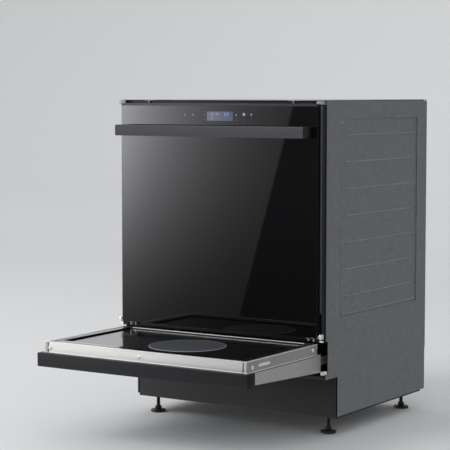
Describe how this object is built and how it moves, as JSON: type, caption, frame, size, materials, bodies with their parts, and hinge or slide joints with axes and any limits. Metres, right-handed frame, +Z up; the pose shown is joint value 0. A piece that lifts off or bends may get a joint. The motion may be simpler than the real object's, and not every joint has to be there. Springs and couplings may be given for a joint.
{
  "type": "integrated dishwasher",
  "caption": "Built-in dishwasher with a drop-down black glass door and bar handle, racks and spray arms inside, and a shallow pull-out warming drawer with a black plate below.",
  "frame": {"origin": "on the floor, under the middle of the bounding box with the drawer pulled out", "axes": "+X to the right as seen from the front, +Y to the rear, away from the door, +Z up"},
  "size_m": [0.598, 0.88, 0.815],
  "materials": {
    "black_paint": "satin",
    "zinc_sheet": "matte",
    "tub_steel": "brushed",
    "tray_steel": "brushed",
    "runner_steel": "satin",
    "bright_zinc": "bright",
    "spring_steel": "satin",
    "rubber": "matte",
    "base_plastic": "matte",
    "grey_plastic": "matte",
    "white_plastic": "matte",
    "rack_coating": "gloss",
    "motor_cast": "cast",
    "heater_steel": "satin",
    "board": "matte",
    "fibre_mat": "matte",
    "door_glass": "gloss",
    "plate_glass": "gloss",
    "zone_glass": "satin",
    "black_aluminium": "brushed",
    "fascia_paint": "satin"
  },
  "bodies": {
    "cabinet": {"base_tray": "base_plastic", "levelling_feet": "base_plastic", "side_panels": "black_paint", "rear_panel": "zinc_sheet", "top_cover": "zinc_sheet", "front_frame": "black_paint", "slot_floor": "black_paint", "tub": "tub_steel", "tub_floor": "tub_steel", "door_gasket": "rubber", "sump": "grey_plastic", "fine_filter": "tub_steel", "circulation_pump": "motor_cast", "flow_heater": "heater_steel", "drain_pump": "white_plastic", "water_softener": "white_plastic", "inlet_valve": "white_plastic", "mains_terminal": "base_plastic", "fill_tank": "white_plastic", "feed_tube": "grey_plastic", "hinge_brackets": "bright_zinc", "door_springs": "spring_steel", "runner_fixed": "runner_steel", "slot_guides": "white_plastic", "fixing_brackets": "bright_zinc"},
    "door": {"glass_panel": "door_glass", "door_trim": "black_aluminium", "door_carrier": "black_paint", "door_liner": "tub_steel", "door_insulation": "fibre_mat", "control_board": "board", "handle_bar": "black_aluminium", "handle_posts": "black_aluminium", "hinge_arms": "runner_steel", "dispenser_body": "grey_plastic"},
    "drawer": {"drawer_fascia": "fascia_paint", "tray_frame": "tray_steel", "tray_pan": "zinc_sheet", "tray_border": "plate_glass", "warming_plate": "plate_glass", "zone_disc": "zone_glass", "warming_heater": "fibre_mat", "drawer_arms": "runner_steel", "runner_inner": "runner_steel", "tray_screws": "bright_zinc"},
    "runner_middle": {"runner_middle": "runner_steel"},
    "lower_rack": {"lower_rack": "rack_coating"},
    "lower_wheels_front": {"lower_wheels_front": "grey_plastic"},
    "lower_wheels_rear": {"lower_wheels_rear": "grey_plastic"},
    "cutlery_basket": {"cutlery_basket": "grey_plastic"},
    "upper_rack": {"upper_rack": "rack_coating"},
    "upper_spray_arm": {"upper_spray_arm": "grey_plastic"},
    "lower_spray_arm": {"lower_spray_arm": "grey_plastic"},
    "ceiling_spray_arm": {"ceiling_spray_arm": "grey_plastic"},
    "pump_impeller": {"pump_impeller": "grey_plastic"},
    "filter_cup": {"filter_cup": "grey_plastic"},
    "salt_cap": {"salt_cap": "grey_plastic"},
    "dispenser_lid": {"dispenser_lid": "grey_plastic"},
    "rinse_cap": {"rinse_cap": "grey_plastic"},
    "latch_bolt": {"latch_bolt": "white_plastic"}
  },
  "joints": [
    {"name": "door_hinge", "type": "hinge", "parent": "cabinet", "child": "door", "pos_m": [0, -0.1045, 0.252], "axis": [1, 0, 0], "range_deg": [0, 90], "deforming": ["door_springs"]},
    {"name": "drawer_slide", "type": "slide", "parent": "cabinet", "child": "drawer", "axis": [0, 1, 0], "range_m": [0, 0.326]},
    {"name": "runner_middle_slide", "type": "slide", "parent": "cabinet", "child": "runner_middle", "axis": [0, 1, 0], "range_m": [0, 0.163]},
    {"name": "lower_rack_slide", "type": "slide", "parent": "cabinet", "child": "lower_rack", "axis": [0, -1, 0], "range_m": [0, 0.04]},
    {"name": "upper_rack_slide", "type": "slide", "parent": "cabinet", "child": "upper_rack", "axis": [0, -1, 0], "range_m": [0, 0.04]},
    {"name": "front_wheels_roll", "type": "hinge", "parent": "lower_rack", "child": "lower_wheels_front", "pos_m": [0, 0.036, 0.2814], "axis": [1, 0, 0], "range_deg": [0, 180]},
    {"name": "rear_wheels_roll", "type": "hinge", "parent": "lower_rack", "child": "lower_wheels_rear", "pos_m": [0, 0.326, 0.2814], "axis": [1, 0, 0], "range_deg": [0, 180]},
    {"name": "cutlery_basket_lift", "type": "slide", "parent": "lower_rack", "child": "cutlery_basket", "axis": [0, 0, 1], "range_m": [0, 0.055]},
    {"name": "lower_arm_spin", "type": "hinge", "parent": "cabinet", "child": "lower_spray_arm", "pos_m": [0, 0.186, 0.27], "axis": [0, 0, 1], "continuous": true},
    {"name": "upper_arm_spin", "type": "hinge", "parent": "upper_rack", "child": "upper_spray_arm", "pos_m": [0, 0.186, 0.499], "axis": [0, 0, 1], "continuous": true},
    {"name": "ceiling_arm_spin", "type": "hinge", "parent": "cabinet", "child": "ceiling_spray_arm", "pos_m": [0, 0.186, 0.762], "axis": [0, 0, 1], "continuous": true},
    {"name": "impeller_spin", "type": "hinge", "parent": "cabinet", "child": "pump_impeller", "pos_m": [0.12, 0.316, 0.2], "axis": [1, 0, 0], "continuous": true},
    {"name": "filter_twist", "type": "hinge", "parent": "cabinet", "child": "filter_cup", "pos_m": [0, 0.316, 0.25], "axis": [0, 0, 1], "range_deg": [0, 60]},
    {"name": "salt_cap_turn", "type": "hinge", "parent": "cabinet", "child": "salt_cap", "pos_m": [-0.185, 0.326, 0.25], "axis": [0, 0, 1], "range_deg": [0, 270]},
    {"name": "dispenser_lid_slide", "type": "slide", "parent": "door", "child": "dispenser_lid", "axis": [1, 0, 0], "range_m": [0, 0.068]},
    {"name": "rinse_cap_turn", "type": "hinge", "parent": "door", "child": "rinse_cap", "pos_m": [0.02, -0.058, 0.574], "axis": [0, 1, 0], "range_deg": [0, 90]},
    {"name": "latch_bolt_slide", "type": "slide", "parent": "door", "child": "latch_bolt", "axis": [0, 0, 1], "range_m": [0, 0.0055]}
  ],
  "couplings": [
    {"joint": "runner_middle_slide", "follows": "drawer_slide", "ratio": 0.5},
    {"joint": "front_wheels_roll", "follows": "lower_rack_slide", "rad_per_m": 76.923},
    {"joint": "rear_wheels_roll", "follows": "lower_rack_slide", "rad_per_m": 76.923}
  ]
}
